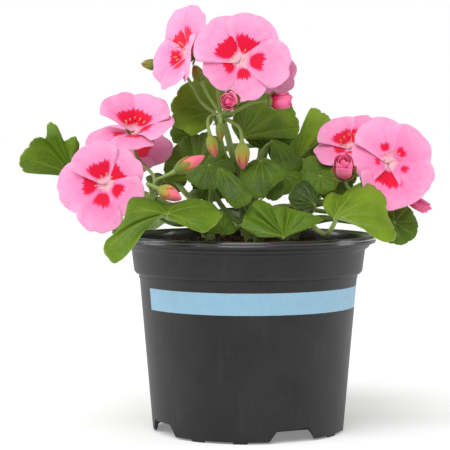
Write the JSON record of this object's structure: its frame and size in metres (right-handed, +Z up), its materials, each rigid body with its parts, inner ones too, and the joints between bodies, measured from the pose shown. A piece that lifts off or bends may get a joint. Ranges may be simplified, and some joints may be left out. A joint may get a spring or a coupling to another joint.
{
  "type": "potted geranium",
  "caption": "Zonal geranium with scalloped leaves, open pink flowers and buds on three flower heads, growing in a round black plastic nursery pot",
  "frame": {"origin": "on the ground, under the middle of the pot", "axes": "+Z up along the pot's axis; -Y is the front, which the two largest flowers face"},
  "size_m": [0.204, 0.1648, 0.2061],
  "materials": {
    "pot": "satin",
    "potting_mix": "matte",
    "stem": "satin",
    "leaf": "satin",
    "petal": "satin",
    "bud": "satin"
  },
  "bodies": {
    "root": {"pot": "pot", "potting_mix": "potting_mix", "stem_middle": "stem", "stem_left": "stem", "stem_right": "stem", "stem_back": "stem", "stem_front": "stem", "flower_stalk_top": "stem", "flower_stalk_left": "stem", "flower_stalk_right": "stem", "leaf_far_left": "leaf", "leaf_front_left": "leaf", "leaf_front_right": "leaf", "leaf_front_middle": "leaf", "leaf_low_middle": "leaf", "leaf_small_dark": "leaf", "leaf_top_left": "leaf", "leaf_top_right": "leaf", "leaf_right_upper": "leaf", "leaf_right_back": "leaf", "leaf_dark_right": "leaf", "leaf_lower_right": "leaf", "leaf_right_curl": "leaf", "leaf_middle_right": "leaf", "leaf_centre_right": "leaf", "leaf_centre": "leaf", "leaf_left_centre": "leaf", "leaf_left_upper": "leaf", "leaf_left_low": "leaf", "leaf_dark_left": "leaf", "leaf_right_low": "leaf", "leaf_back_left": "leaf", "leaf_back": "leaf", "leaf_back_right": "leaf", "leaf_back_top": "leaf", "leaf_right_side": "leaf", "leaf_inner_right": "leaf", "leaf_inner_left": "leaf", "leaf_inner_low": "leaf", "flower_top_right": "petal", "flower_top_left": "petal", "flower_left_upper": "petal", "flower_left_front": "petal", "flower_left_back": "petal", "flower_right_front": "petal", "flower_right_back": "petal", "flower_top_back": "petal", "bud_opening_middle": "bud", "bud_opening_right": "bud", "bud_green": "bud", "bud_hanging_left": "bud", "bud_hanging_right": "bud", "bud_upper": "bud", "bud_far_left": "bud", "bud_left_upper": "bud", "bud_left_lower": "bud", "bud_rose": "bud", "bud_drooping": "bud"}
  },
  "joints": []
}
